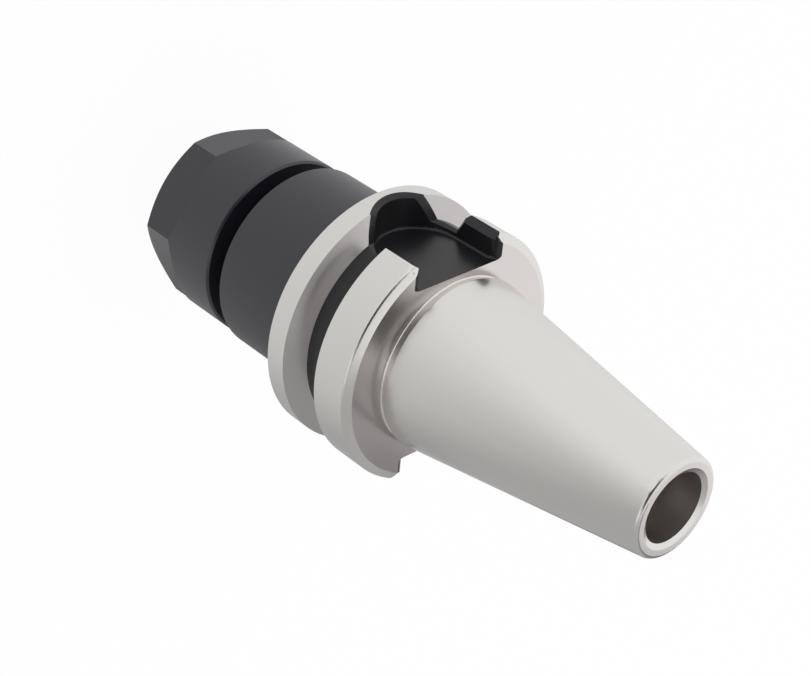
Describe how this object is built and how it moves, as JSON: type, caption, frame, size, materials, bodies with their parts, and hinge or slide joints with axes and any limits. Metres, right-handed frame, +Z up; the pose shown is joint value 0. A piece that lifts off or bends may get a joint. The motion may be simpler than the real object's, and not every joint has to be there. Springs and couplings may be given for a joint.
{
  "type": "collet chuck holder",
  "caption": "Tool holder with a 7:24 steep-taper shank, a gripping flange with drive slots, a slotted spring collet and a screwed clamping nut with spanner flats.",
  "frame": {"origin": "centre of the taper's gauge circle, where the taper is 31.75 mm across", "axes": "+Z up the axis to the taper's small end; the two drive slots lie on +X and -X"},
  "size_m": [0.046, 0.046, 0.1142],
  "materials": {
    "ground_and_blackened_steel": "taper and flange ground bright, slots, collar and nose black oxide",
    "black_oxide_steel": "satin black oxide",
    "spring_steel": "fine ground, bright"
  },
  "bodies": {
    "holder": {"holder_body": "ground_and_blackened_steel"},
    "collet": {"collet": "spring_steel"},
    "nut": {"clamping_nut": "black_oxide_steel"}
  },
  "joints": [
    {"name": "collet_slide", "type": "slide", "parent": "holder", "child": "collet", "axis": [0, 0, -1], "range_m": [0, 0.0105]},
    {"name": "nut_turn", "type": "hinge", "parent": "collet", "child": "nut", "pos_m": [0, 0, 0], "axis": [0, 0, -1], "range_deg": [0, 2520]}
  ],
  "couplings": [
    {"joint": "nut_turn", "follows": "collet_slide", "rad_per_m": 4188.8}
  ]
}
